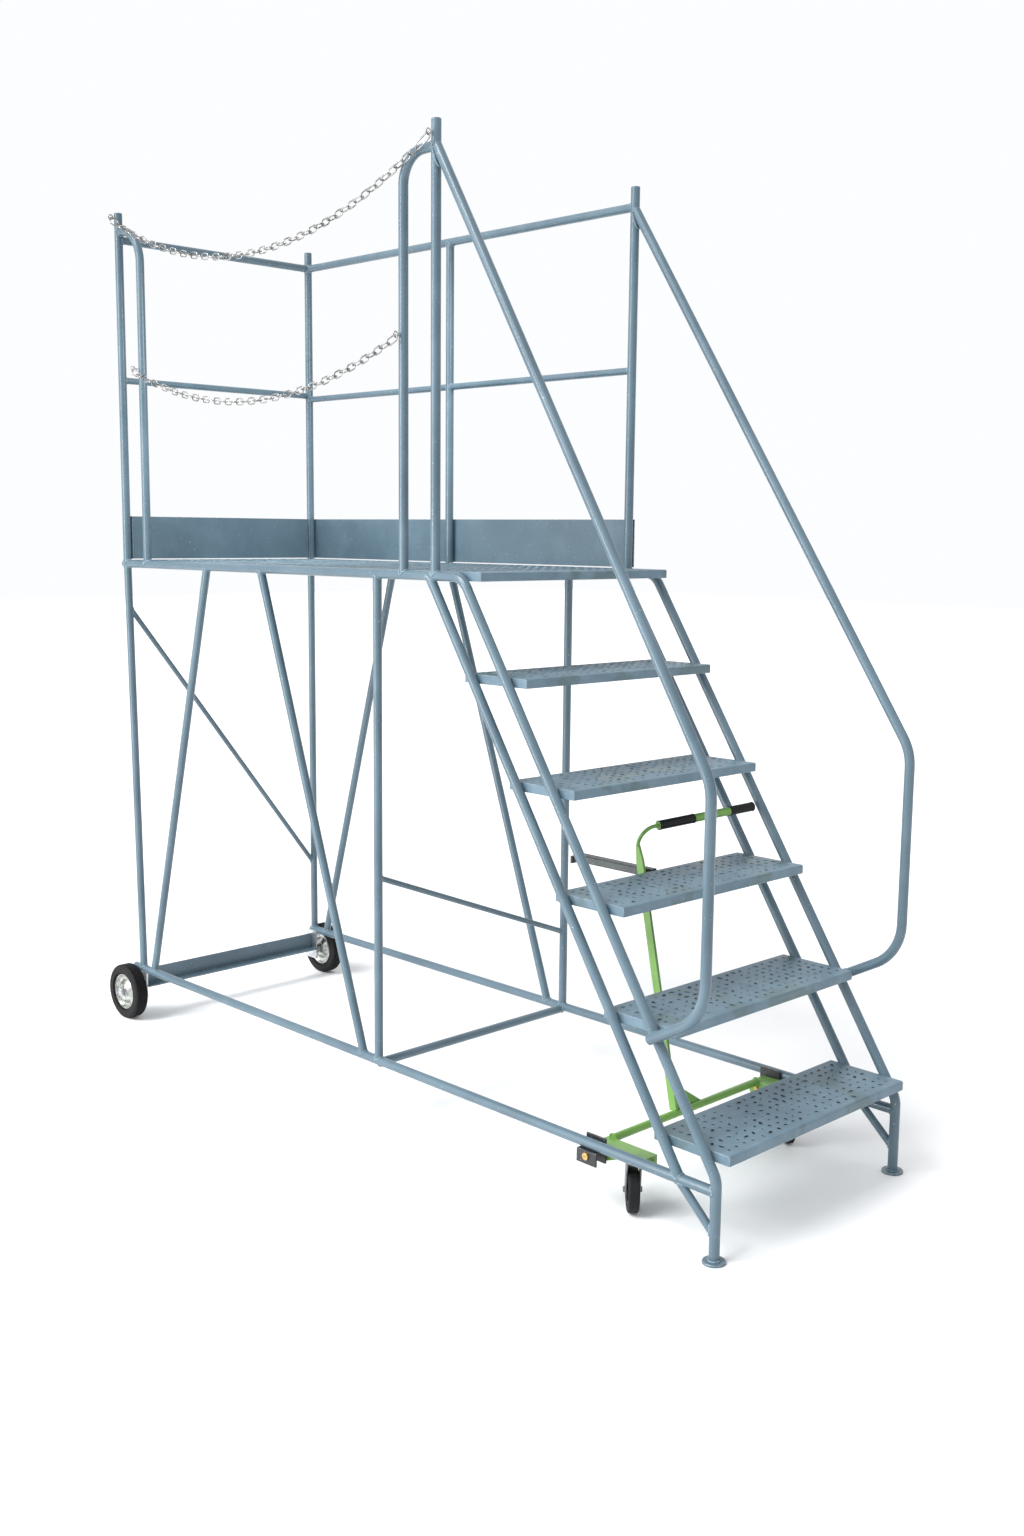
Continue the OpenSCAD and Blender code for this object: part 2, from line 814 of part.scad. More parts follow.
module castor_fork(side) {
    leg_in = castor_w / 2 + 2;
    leg_t = 3;
    boss_r = 12;
    color(zinc) at_castor(side) difference() {
        union() {
            for (s = [leg_in, -leg_in - leg_t])
                translate([0, s + leg_t, 0]) rotate([90, 0, 0]) linear_extrude(leg_t) {
                    polygon([[-18, crown_z + crown_t], [18, crown_z + crown_t],
                             [castor_trail + boss_r - 1, castor_axle_z + 5],
                             [castor_trail - boss_r + 1, castor_axle_z - 5]]);
                    translate([castor_trail, castor_axle_z]) circle(r = boss_r);
                }
            translate([-18, -leg_in - leg_t, crown_z]) cube([36, 2 * (leg_in + leg_t), crown_t]);
            translate([castor_trail, 0, castor_axle_z]) rotate([90, 0, 0])
                cylinder(r = castor_axle_r, h = 2 * (leg_in + leg_t), center = true);
            for (s = [1, -1])
                translate([castor_trail, s * (leg_in + leg_t + 2), castor_axle_z]) rotate([90, 0, 0])
                    cylinder(r = 7, h = 5, center = true);
        }
        cylinder(r = king_r + running, h = 200);
    }
}

module at_castor_wheel(side) {
    at_castor(side) translate([castor_trail, 0, castor_axle_z]) rotate([90, 0, 0]) children();
}

module castor_tyre(side) {
    shoulder = 5;
    color(black) at_castor_wheel(side) rotate_extrude() difference() {
        union() {
            translate([castor_hub_r, -castor_w / 2])
                square([castor_d / 2 - castor_hub_r - shoulder, castor_w]);
            translate([castor_hub_r, shoulder - castor_w / 2])
                square([castor_d / 2 - castor_hub_r, castor_w - 2 * shoulder]);
            for (s = [1, -1])
                translate([castor_d / 2 - shoulder, s * (castor_w / 2 - shoulder)]) circle(r = shoulder);
        }
        for (s = [castor_w / 2 - 1.5, -castor_w / 2 - 1])
            translate([castor_hub_r + 3, s]) square([8, 2.5]);
    }
}

module castor_hub(side) {
    color(black) at_castor_wheel(side) rotate_extrude() difference() {
        union() {
            translate([castor_axle_r + running, -castor_w / 2 - 1]) square([9, castor_w + 2]);
            translate([castor_axle_r + running, -3]) square([castor_hub_r - castor_axle_r - running, 6]);
            translate([castor_hub_r - 6, 1 - castor_w / 2]) square([6, castor_w - 2]);
        }
    }
}

module at_wheel(side) {
    translate([rear_x, side * wheel_mid_y, axle_z]) rotate([-90 * side, 0, 0]) children();
}

// Rear tyre: rounded shoulders, five grooves round the tread
module wheel_tyre(side) {
    shoulder = 9;
    groove_w = 3;
    groove_h = 3.5;
    r = wheel_d / 2;
    color(black) at_wheel(side) rotate_extrude() difference() {
        union() {
            translate([hub_r, 4 - wheel_w / 2]) square([r - hub_r - shoulder, wheel_w - 8]);
            translate([hub_r + 6, -wheel_w / 2]) square([r - hub_r - shoulder - 6, wheel_w]);
            translate([hub_r, shoulder - wheel_w / 2]) square([r - hub_r, wheel_w - 2 * shoulder]);
            for (s = [1, -1])
                translate([r - shoulder, s * (wheel_w / 2 - shoulder)]) circle(r = shoulder);
        }
        for (i = [-2 : 2])
            translate([r - groove_h, i * 6.5 - groove_w / 2]) square([groove_h + 1, groove_w]);
    }
}

// Rear hub: a barrel on the axle, two dished discs and a rim under the tyre
module wheel_hub(side) {
    disc_t = 3;
    rim_half = wheel_w / 2 - 5;
    color(zinc) at_wheel(side) rotate_extrude() {
        translate([axle_r + running, -wheel_w / 2 - 1]) square([9, wheel_w + 2]);
        translate([hub_r - disc_t, -rim_half]) square([disc_t, 2 * rim_half]);
        for (s = [1, -1]) scale([1, s])
            polygon([[axle_r + 8, rim_half - 2], [axle_r + 8, rim_half + 4], [axle_r + 16, rim_half + 4],
                     [hub_r - 18, rim_half - 8], [hub_r - disc_t, rim_half - 8],
                     [hub_r - disc_t, rim_half - 8 - disc_t], [hub_r - 19, rim_half - 8 - disc_t],
                     [axle_r + 14, rim_half + 1], [axle_r + 11, rim_half - 2]]);
    }
}

side_tube(near);  // near_side_tube
side_tube(far);  // far_side_tube
rear_stringer(near);  // near_rear_stringer
rear_stringer(far);  // far_rear_stringer
base_rail(near);  // near_base_rail
base_rail(far);  // far_base_rail
post(rear_x, near, near_rear_top);  // near_rear_post
post(fx, near, post_top);  // near_front_post
post(rear_x, far, far_top);  // far_rear_post
mid_post();  // far_mid_post
post(fx, far, far_top);  // far_front_post
legs(near);  // near_legs
legs(far);  // far_legs
braces(near);  // near_braces
braces(far);  // far_braces
cross_ties();
rear_cross_angle();
rear_rails();
far_rails();
hoop(rear_x, rear_x + rear_hoop_in, rear_hoop_z, rear_hoop_bend);  // rear_hoop
hoop(fx, fx - front_hoop_in, front_hoop_z, front_hoop_bend);  // front_hoop
handrail(near);  // near_handrail
handrail(far);  // far_handrail
rear_toe_board();
far_toe_board();
deck_planks();
nose_plank();
tread(1);  // tread_1
tread(2);  // tread_2
tread(3);  // tread_3
tread(4);  // tread_4
tread(5);  // tread_5
feet();
post_caps();
wheel_brackets();
wheel_nuts();
chain_eyes();
pivot_brackets();
pivot_pins();
latch_bar();
lift_arms();
cross_bar();
lever();
handle_rod();
handle_sleeve();
grips();
castor_heads();
castor_fork(near);  // near_castor_fork
castor_tyre(near);  // near_castor_tyre
castor_hub(near);  // near_castor_hub
castor_fork(far);  // far_castor_fork
castor_tyre(far);  // far_castor_tyre
castor_hub(far);  // far_castor_hub
wheel_tyre(near);  // near_wheel_tyre
wheel_hub(near);  // near_wheel_hub
wheel_tyre(far);  // far_wheel_tyre
wheel_hub(far);  // far_wheel_hub
upper_chain();
lower_chain();
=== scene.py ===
"""Looks of the rolling warehouse ladder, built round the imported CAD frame. Metres, +Z up."""
import math
import random

import bmesh
import bpy
from mathutils import Matrix, Vector


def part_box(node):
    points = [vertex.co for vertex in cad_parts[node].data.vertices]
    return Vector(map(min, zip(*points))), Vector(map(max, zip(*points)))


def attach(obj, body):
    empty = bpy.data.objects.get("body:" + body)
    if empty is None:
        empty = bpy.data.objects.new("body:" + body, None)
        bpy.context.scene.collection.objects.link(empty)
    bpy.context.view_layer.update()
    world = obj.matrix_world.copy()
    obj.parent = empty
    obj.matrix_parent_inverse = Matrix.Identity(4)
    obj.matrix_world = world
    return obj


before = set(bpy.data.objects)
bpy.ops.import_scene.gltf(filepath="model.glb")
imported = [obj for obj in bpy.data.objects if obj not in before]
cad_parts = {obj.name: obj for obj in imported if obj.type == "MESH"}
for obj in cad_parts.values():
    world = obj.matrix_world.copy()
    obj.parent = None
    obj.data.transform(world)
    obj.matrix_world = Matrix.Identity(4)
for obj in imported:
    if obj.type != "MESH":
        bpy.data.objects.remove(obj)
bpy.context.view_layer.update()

RNG = random.Random(4)
X, Y, Z = Vector((1, 0, 0)), Vector((0, 1, 0)), Vector((0, 0, 1))

# ---------------------------------------------------------------- camera
EYE = Vector((3.25853, -2.96362, 1.61520))
YAW, PITCH, ROLL = (math.radians(a) for a in (135.7557, 8.6908, 0.5603))
LENS = 36.06

look = Vector((math.cos(YAW) * math.cos(PITCH), math.sin(YAW) * math.cos(PITCH), -math.sin(PITCH)))
right = look.cross(Z).normalized()
up = right.cross(look)
camera = bpy.data.objects.new("camera", bpy.data.cameras.new("camera"))
camera.data.lens = LENS
camera.data.sensor_width = 36
camera.data.sensor_fit = "AUTO"
camera.data.clip_end = 60
across = right * math.cos(ROLL) + up * math.sin(ROLL)
above = up * math.cos(ROLL) - right * math.sin(ROLL)
camera.matrix_world = Matrix((across, above, -look)).transposed().to_4x4()
camera.location = EYE
bpy.context.collection.objects.link(camera)
bpy.context.scene.camera = camera

# ---------------------------------------------------------------- materials


class Shader:
    """A principled material, with short calls that add nodes and link them."""

    def __init__(self, name):
        self.mat = bpy.data.materials.new(name)
        self.mat.use_nodes = True
        self.tree = self.mat.node_tree
        self.bsdf = self.tree.nodes["Principled BSDF"]
        self.place = self.add("ShaderNodeTexCoord").outputs["Object"]

    def add(self, kind, **settings):
        node = self.tree.nodes.new(kind)
        for key, value in settings.items():
            setattr(node, key, value)
        return node

    def plug(self, socket, value):
        if isinstance(value, bpy.types.NodeSocket):
            self.tree.links.new(value, socket)
        else:
            socket.default_value = value

    def noise(self, scale, detail=3.0, rough=0.55, stretch=None):
        node = self.add("ShaderNodeTexNoise")
        node.inputs["Scale"].default_value = scale
        node.inputs["Detail"].default_value = detail
        node.inputs["Roughness"].default_value = rough
        self.plug(node.inputs["Vector"], self.stretched(stretch) if stretch else self.place)
        return node.outputs["Fac"]

    def stretched(self, factors):
        node = self.add("ShaderNodeMapping")
        node.inputs["Scale"].default_value = factors
        self.plug(node.inputs["Vector"], self.place)
        return node.outputs["Vector"]

    def cells(self, scale, feature="F1", randomness=1.0):
        node = self.add("ShaderNodeTexVoronoi", feature=feature)
        node.inputs["Scale"].default_value = scale
        node.inputs["Randomness"].default_value = randomness
        self.plug(node.inputs["Vector"], self.place)
        return node.outputs["Distance"]

    def span(self, value, low, high, to_low=0.0, to_high=1.0):
        node = self.add("ShaderNodeMapRange")
        self.plug(node.inputs["Value"], value)
        for key, number in (("From Min", low), ("From Max", high), ("To Min", to_low), ("To Max", to_high)):
            node.inputs[key].default_value = number
        return node.outputs["Result"]

    def math(self, operation, a, b):
        node = self.add("ShaderNodeMath", operation=operation)
        self.plug(node.inputs[0], a)
        self.plug(node.inputs[1], b)
        return node.outputs[0]

    def blend(self, factor, a, b):
        node = self.add("ShaderNodeMix", data_type="RGBA")
        self.plug(node.inputs[0], factor)
        for socket, colour in ((node.inputs[6], a), (node.inputs[7], b)):
            self.plug(socket, (*colour, 1.0) if isinstance(colour, tuple) else colour)
        return node.outputs[2]

    def bump(self, height, strength, distance, normal=None):
        node = self.add("ShaderNodeBump")
        node.inputs["Strength"].default_value = strength
        node.inputs["Distance"].default_value = distance
        self.plug(node.inputs["Height"], height)
        if normal:
            self.plug(node.inputs["Normal"], normal)
        return node.outputs["Normal"]

    def soft_edges(self, radius):
        node = self.add("ShaderNodeBevel", samples=4)
        node.inputs["Radius"].default_value = radius
        return node.outputs["Normal"]

    def edge_mask(self, rounded, low, high):
        """1 on sharp edges, 0 on faces: where the rounded normal leaves the face's own."""
        node = self.add("ShaderNodeVectorMath", operation="DOT_PRODUCT")
        self.plug(node.inputs[0], rounded)
        self.plug(node.inputs[1], self.add("ShaderNodeNewGeometry").outputs["Normal"])
        return self.span(node.outputs["Value"], high, low)

    def finish(self, colour, roughness, normal=None, **others):
        self.plug(self.bsdf.inputs["Base Color"], (*colour, 1.0) if isinstance(colour, tuple) else colour)
        self.plug(self.bsdf.inputs["Roughness"], roughness)
        if normal:
            self.plug(self.bsdf.inputs["Normal"], normal)
        for key, value in others.items():
            self.plug(self.bsdf.inputs[key.replace("_", " ")], value)
        return self.mat


def painted(name, dark, mid, light, bare, gloss=(0.27, 0.40), edge=0.0, chips=0.6, grain=0.0002):
    """Semi-gloss paint on steel: slow colour drift, faint sags, small chips and worn edges."""
    s = Shader(name)
    colour = s.blend(s.span(s.noise(3.5, 3.0, 0.5), 0.35, 0.65), dark, mid)
    colour = s.blend(s.span(s.noise(11.0, 3.0, 0.5), 0.5, 0.8, 0.0, 0.3), colour, light)
    grime = s.span(s.noise(14.0, 6.0, 0.75, (1.0, 1.0, 0.3)), 0.58, 0.76, 0.0, 0.3)
    colour = s.blend(grime, colour, tuple(c * 0.6 for c in dark))
    chip = s.math("MULTIPLY", s.span(s.noise(170.0, 2.0, 0.5), 0.72, 0.75), chips)
    normal = None
    if edge:
        normal = s.soft_edges(edge)
        patchy = s.span(s.noise(90.0, 4.0, 0.7), 0.4, 0.56)
        worn = s.math("MULTIPLY", s.edge_mask(normal, 0.90, 0.99), patchy)
        chip = s.math("MAXIMUM", chip, worn)
    colour = s.blend(chip, colour, bare)
    rough = s.span(s.noise(18.0, 4.0, 0.6), 0.3, 0.7, *gloss)
    height = s.math("ADD", s.noise(55.0, 2.0, 0.5), s.math("MULTIPLY", s.noise(420.0, 2.0, 0.5), 0.15))
    normal = s.bump(height, 0.13, grain * 2.0, normal)
    return s.finish(colour, rough, normal, Metallic=s.math("MULTIPLY", chip, 0.7),
                    Coat_Weight=0.25, Coat_Roughness=0.12)


def trodden(name, dark, mid, light, bare, specular=0.45):
    """The paint of treads and deck: scuffed, with damp patches, small dented pits painted dark as the shade
    inside them, and bright worn edges.
    """
    s = Shader(name)
    colour = s.blend(s.span(s.noise(9.0, 4.0, 0.6), 0.3, 0.7), dark, mid)
    scuff = s.span(s.noise(45.0, 6.0, 0.75, (1.0, 0.35, 1.0)), 0.52, 0.72, 0.0, 0.4)
    colour = s.blend(scuff, colour, light)
    damp = s.span(s.noise(6.0, 3.0, 0.5), 0.56, 0.60)
    wet = (dark[0] * 0.62, dark[1] * 0.66, dark[1] * 0.62)
    colour = s.blend(s.math("MULTIPLY", damp, 0.5), colour, wet)
    # Pits: each dents the bump, and its colour is painted dark as the shade that falls in it
    pit_and_shade = s.span(s.cells(80.0), 0.13, 0.07, 0.0, 0.75)
    pit_and_shade = s.math("MULTIPLY", pit_and_shade, s.span(s.noise(21.0, 2.0, 0.5), 0.5, 0.56))
    colour = s.blend(pit_and_shade, colour, tuple(c * 0.25 for c in dark))
    rounded = s.soft_edges(0.0022)
    worn = s.math("MULTIPLY", s.edge_mask(rounded, 0.88, 0.99), s.span(s.noise(55.0, 5.0, 0.7), 0.38, 0.54))
    colour = s.blend(s.math("MULTIPLY", worn, 0.8), colour, bare)
    rough = s.span(damp, 0.0, 1.0, 0.46, 0.36)
    grain = s.math("MULTIPLY", s.noise(240.0, 4.0, 0.6), 0.5)
    height = s.math("SUBTRACT", grain, s.math("MULTIPLY", pit_and_shade, 0.8))
    return s.finish(colour, rough, s.bump(height, 0.5, 0.0006, rounded),
                    Metallic=s.math("MULTIPLY", worn, 0.6), Specular_IOR_Level=specular)


def metal(name, dark, light, rough=(0.22, 0.45), tarnish=(0.12, 0.09, 0.06), edge=0.0):
    """Zinc or brass: bright, mottled, with darker tarnish in patches and fine scratches."""
    s = Shader(name)
    colour = s.blend(s.span(s.noise(45.0, 4.0, 0.6), 0.3, 0.7), dark, light)
    stain = s.span(s.noise(75.0, 5.0, 0.7), 0.55, 0.75, 0.0, 0.6)
    colour = s.blend(stain, colour, tarnish)
    scratches = s.noise(900.0, 2.0, 0.5, (1.0, 0.15, 0.4))
    normal = s.soft_edges(edge) if edge else None
    return s.finish(colour, s.span(s.noise(120.0, 3.0, 0.6), 0.3, 0.7, *rough),
                    s.bump(scratches, 0.25, 0.0002, normal), Metallic=0.92)


def rubber(name, dark, light, rough=(0.5, 0.75), grain=900.0, edge=0.0008):
    """Rubber or moulded plastic: near black, with fine grain, dust and rubbed edges."""
    s = Shader(name)
    dust = s.span(s.noise(30.0, 5.0, 0.7), 0.45, 0.72, 0.0, 0.6)
    colour = s.blend(dust, dark, light)
    rounded = s.soft_edges(edge)
    rub = s.math("MULTIPLY", s.edge_mask(rounded, 0.88, 0.99), 0.5)
    colour = s.blend(rub, colour, tuple(min(1.0, c * 2.4) for c in light))
    return s.finish(colour, s.span(s.noise(60.0, 3.0, 0.6), 0.3, 0.7, *rough),
                    s.bump(s.noise(grain, 3.0, 0.6), 0.3, 0.0003, rounded), Specular_IOR_Level=0.25)


# Colours run from dark through mid to light, then the bare metal under the paint
BARE = (0.52, 0.57, 0.60)
BLUE = (0.066, 0.113, 0.147), (0.093, 0.150, 0.190), (0.150, 0.225, 0.275), BARE
PAINT = painted("paint_blue_grey", *BLUE)
SHEET = painted("paint_on_sheet", *BLUE, (0.34, 0.5), edge=0.0018)
TREAD = trodden("paint_trodden", (0.095, 0.155, 0.20), (0.135, 0.21, 0.265), (0.21, 0.30, 0.36), BARE)
DECK = trodden("paint_on_deck", (0.055, 0.092, 0.12), (0.08, 0.13, 0.165), (0.14, 0.205, 0.25), BARE, 0.12)
WELD = painted("paint_over_weld", (0.11, 0.175, 0.225), (0.17, 0.25, 0.30), (0.4, 0.48, 0.52), BARE,
               (0.16, 0.3), chips=1.0)
GREEN = painted("paint_green", (0.085, 0.20, 0.028), (0.15, 0.34, 0.055), (0.26, 0.46, 0.12),
                (0.45, 0.5, 0.4), (0.30, 0.45), edge=0.0015)
BLACK = painted("paint_black", (0.008, 0.009, 0.010), (0.016, 0.018, 0.020), (0.06, 0.065, 0.07),
                (0.4, 0.42, 0.44), (0.42, 0.6), edge=0.0015)
PANEL = painted("paint_dull_grey", (0.035, 0.04, 0.04), (0.06, 0.068, 0.068), (0.11, 0.12, 0.12), BARE,
                (0.5, 0.7), edge=0.001)
CAP = painted("cap_paint", *BLUE, edge=0.001)
ZINC = metal("zinc_plate", (0.42, 0.44, 0.46), (0.72, 0.74, 0.76), edge=0.001)
WHEEL = metal("wheel_zinc", (0.20, 0.21, 0.18), (0.74, 0.76, 0.74), (0.18, 0.36), (0.09, 0.11, 0.06),
              edge=0.001)
# The chain is darker than plain zinc and heavily blotched: partly tarnish, partly painted shade that
# darkens its reflections
CHAIN = metal("chain_zinc", (0.12, 0.11, 0.10), (0.58, 0.58, 0.57), (0.14, 0.30), (0.03, 0.022, 0.016))
STEEL = metal("castor_steel", (0.10, 0.105, 0.11), (0.30, 0.31, 0.33), (0.28, 0.5), edge=0.001)
BRASS = metal("pin_brass", (0.42, 0.27, 0.08), (0.72, 0.50, 0.20), (0.25, 0.45), (0.10, 0.06, 0.02),
              edge=0.001)
TYRE = rubber("tyre_rubber", (0.005, 0.005, 0.006), (0.018, 0.018, 0.018), (0.55, 0.75))
HUB = rubber("hub_plastic", (0.012, 0.013, 0.015), (0.06, 0.065, 0.07), (0.35, 0.55))
GRIP = rubber("grip_rubber", (0.005, 0.006, 0.006), (0.02, 0.022, 0.022), (0.4, 0.6), 1400.0)
# Near black, laid on each dimple's flat centre: painted shade where a hollow would be
HOLLOW_SHADE = rubber("painted_hollow_shade", (0.008, 0.012, 0.016), (0.02, 0.026, 0.032))

BY_NODE = {
    TREAD: ["tread_1", "tread_2", "tread_3", "tread_4", "tread_5", "nose_plank"],
    DECK: ["deck_planks"],
    SHEET: ["rear_cross_angle", "rear_toe_board", "far_toe_board", "feet"],
    CAP: ["post_caps"],
    GREEN: ["lift_arms", "cross_bar", "lever", "handle_rod", "handle_sleeve"],
    BLACK: ["pivot_brackets", "latch_bar"],
    ZINC: ["wheel_brackets", "wheel_nuts"],
    WHEEL: ["near_wheel_hub", "far_wheel_hub"],
    CHAIN: ["chain_eyes", "upper_chain", "lower_chain"],
    STEEL: ["castor_heads", "near_castor_fork", "far_castor_fork"],
    BRASS: ["pivot_pins"],
    TYRE: ["near_wheel_tyre", "far_wheel_tyre", "near_castor_tyre", "far_castor_tyre"],
    HUB: ["near_castor_hub", "far_castor_hub"],
    GRIP: ["grips"],
}
material_of = {node: material for material, nodes in BY_NODE.items() for node in nodes}
for name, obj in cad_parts.items():
    material = material_of.get(name, PAINT)
    for slot in obj.material_slots:
        slot.material = material
    if not obj.material_slots:
        obj.data.materials.append(material)

# ---------------------------------------------------------------- places, read from the frame


def low(node):
    return Vector(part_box(node)[0])


def high(node):
    return Vector(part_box(node)[1])


def middle(node):
    return (low(node) + high(node)) / 2


# Radii of the four tube sizes
TUBE_R = 0.0127
BRACE_R = 0.012
LIGHT_R = 0.010
TIE_R = 0.008

front_x = middle("near_front_post").x
rear_x = middle("near_rear_post").x
mid_x = middle("far_mid_post").x
half = middle("far_front_post").y
leg_x = middle("feet").x
deck_z = high("deck_planks").z
side_z = deck_z - TUBE_R
base_z = middle("near_base_rail").z
top_rail_z = high("rear_rails").z - BRACE_R
mid_rail_z = low("far_rails").z + LIGHT_R
rear_mid_rail_z = low("rear_rails").z + LIGHT_R
tread_half = high("tread_3").y
SIDES = (-1, 1)
STEPS = 5

# Places along the frame that no box tells: back from the front posts, or up from the floor
mid_leg_x = front_x - 0.232
REAR_BRACE_TOP = -1.040
FRONT_BRACE_TOP, FRONT_BRACE_FOOT = -0.763, -0.297
SHORT_BRACE_RUN, SHORT_BRACE_FOOT_Z = 0.112, 0.064
HANDRAIL_REACH, HANDRAIL_SPLAY, HANDRAIL_DROP = 0.926, 0.028, 1.44
# The near rear leg's foot stands forward, and the far rear brace's foot further back
REAR_LEG_LEAN = {-1: 0.034, 1: 0.0}
REAR_BRACE_FOOT = {-1: -1.401, 1: -1.428}


def piece(name, bm, material, body, smooth=True):
    """A mesh of this script's own, riding on a body and painted with the given material or materials."""
    mesh = bpy.data.meshes.new(name)
    bmesh.ops.recalc_face_normals(bm, faces=bm.faces)
    bm.to_mesh(mesh)
    bm.free()
    for face in mesh.polygons:
        face.use_smooth = smooth
    obj = bpy.data.objects.new(name, mesh)
    for one in material if isinstance(material, list) else [material]:
        mesh.materials.append(one)
    bpy.context.collection.objects.link(obj)
    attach(obj, body)
    return obj


def sweep(bm, points, radii, closed, sides=7):
    """A tube of changing radius through the points."""
    count = len(points)
    rings = []
    for i, p in enumerate(points):
        before = points[i - 1] if closed or i else p
        after = points[(i + 1) % count] if closed or i < count - 1 else p
        along = (after - before).normalized()
        side = along.orthogonal().normalized() if not rings else (old - along * old.dot(along)).normalized()
        old = side
        other = along.cross(side)
        rings.append([bm.verts.new(p + (side * math.cos(a) + other * math.sin(a)) * radii[i])
                      for a in (2 * math.pi * k / sides for k in range(sides))])
    for i in range(count if closed else count - 1):
        a, b = rings[i], rings[(i + 1) % count]
        shift = 0
        if closed and i == count - 1:
            shift = min(range(sides), key=lambda n: (b[n].co - a[0].co).length)
        for k in range(sides):
            bm.faces.new((a[k], a[(k + 1) % sides], b[(k + 1 + shift) % sides], b[(k + shift) % sides]))
    if not closed:
        for ring in (rings[0], rings[-1]):
            bm.faces.new(ring)


# ---------------------------------------------------------------- weld beads
BEAD_R = 0.0024
BEAD_PITCH = 0.0034


def bead(bm, points, closed):
    """A weld bead: overlapping ripples, uneven in size and place."""
    length = sum((points[i] - points[i - 1]).length for i in range(0 if closed else 1, len(points)))
    count = max(6, int(length / BEAD_PITCH * 3))
    fine, radii = [], []
    for k in range(count):
        t = k / count * len(points) if closed else k / (count - 1) * (len(points) - 1)
        i = min(int(t), len(points) - 1)
        after = points[(i + 1) % len(points)] if closed or i + 1 < len(points) else points[i]
        jitter = Vector(RNG.uniform(-1, 1) for _ in range(3)) * 0.0003
        fine.append(points[i].lerp(after, t - i) + jitter)
        radii.append(BEAD_R * (0.82 + 0.3 * abs(math.sin(k * math.pi / 3)) + RNG.uniform(-0.08, 0.16)))
    sweep(bm, fine, radii, closed)


def saddle(bm, joint, main, branch, main_r, branch_r):
    """The bead where a branch tube, leaving along branch, meets a main tube's side."""
    main, branch = main.normalized(), branch.normalized()
    u = main.cross(branch).normalized()
    v = branch.cross(u)
    points = []
    for k in range(28):
        a = 2 * math.pi * k / 28
        w = (u * math.cos(a) + v * math.sin(a)) * branch_r
        w_flat, d_flat = w - main * w.dot(main), branch - main * branch.dot(main)
        qa, qb, qc = d_flat.dot(d_flat), 2 * w_flat.dot(d_flat), w_flat.dot(w_flat) - main_r ** 2
        root = math.sqrt(max(0.0, qb * qb - 4 * qa * qc))
        points.append(joint + w + branch * ((root - qb) / (2 * qa)))
    bead(bm, points, True)


welds = bmesh.new()
noses = [high(f"tread_{k}") for k in range(1, STEPS + 1)]
slope = (noses[0].x - noses[-1].x) / (noses[-1].z - noses[0].z)
nose_x = high("nose_plank").x

# How far the stringers' middles run behind the line of the noses, and a handrail's foot
FRONT_BACK, REAR_BACK = 0.0635, 0.1875
LAP_BACK = 0.061


def stringer_x(z, back):
    return nose_x + (deck_z - z) * slope - back


def join(a, b, main_a, main_b, main_r, branch_r):
    """The beads at both ends of a straight tube from a to b, where it meets two main tubes."""
    saddle(welds, a, main_a, b - a, main_r, branch_r)
    saddle(welds, b, main_b, a - b, main_r, branch_r)


for side, name in ((-1, "near"), (1, "far")):
    y = side * half
    for x in (rear_x, front_x):
        saddle(welds, Vector((x, y, side_z)), X, Z, TUBE_R, TUBE_R)
    for x, lean in ((rear_x, REAR_LEG_LEAN[side]), (mid_leg_x, 0.0)):
        join(Vector((x, y, side_z)), Vector((x + lean, y, base_z)), X, X, TUBE_R, BRACE_R)
    for top, foot in ((REAR_BRACE_TOP, REAR_BRACE_FOOT[side]), (FRONT_BRACE_TOP, FRONT_BRACE_FOOT)):
        join(Vector((front_x + top, y, side_z)), Vector((front_x + foot, y, base_z)),
             X, X, TUBE_R, BRACE_R)
    top, foot = (Vector((stringer_x(z, REAR_BACK), y, z)) for z in (side_z, base_z))
    join(top, foot, X, X, TUBE_R, TUBE_R)
    saddle(welds, Vector((leg_x, y, base_z)), Z, -X, TUBE_R, TUBE_R)
    join(Vector((leg_x - SHORT_BRACE_RUN, y, base_z)), Vector((leg_x, y, SHORT_BRACE_FOOT_Z)),
         X, Z, TUBE_R, LIGHT_R)

    # A handrail's own box reaches 16 mm past its middle line, up at the post and down at the lap
    reach = 0.016
    rail_top = Vector((front_x, y, high(f"{name}_handrail").z - reach))
    way = Vector((HANDRAIL_REACH, side * HANDRAIL_SPLAY, -HANDRAIL_DROP))
    saddle(welds, rail_top, Z, way, TUBE_R, TUBE_R)
    lap = Vector((0, y + side * 0.0135, low(f"{name}_handrail").z + reach))
    lap.x = stringer_x(lap.z, LAP_BACK)
    bead(welds, [lap + X * 0.013 * math.sin(a) + Z * 0.016 * math.cos(a)
                 for a in (math.pi * (0.15 + k / 12) for k in range(11))], False)

    # The bead round the leg where it stands on its foot disc
    foot = Vector((leg_x, y, 0.007))
    bead(welds, [foot + (X * math.cos(a) + Y * math.sin(a)) * (TUBE_R + 0.001)
                 for a in (2 * math.pi * k / 24 for k in range(24))], True)
saddle(welds, Vector((mid_x, half, side_z)), X, Z, TUBE_R, TUBE_R)
saddle(welds, Vector((mid_x, half, top_rail_z)), X, -Z, BRACE_R, TUBE_R)

# Guardrails: rear ones between the rear posts, far ones along the far posts
for z, r in ((top_rail_z, BRACE_R), (rear_mid_rail_z, LIGHT_R)):
    for side in SIDES:
        saddle(welds, Vector((rear_x, side * half, z)), Z, -Y * side, TUBE_R, r)
for z, r, posts in ((top_rail_z, BRACE_R, ((rear_x, X), (front_x, -X))),
                    (mid_rail_z, LIGHT_R, ((rear_x, X), (mid_x, -X), (mid_x, X), (front_x, -X)))):
    for x, way in posts:
        saddle(welds, Vector((x, half, z)), Z, way, TUBE_R, r)

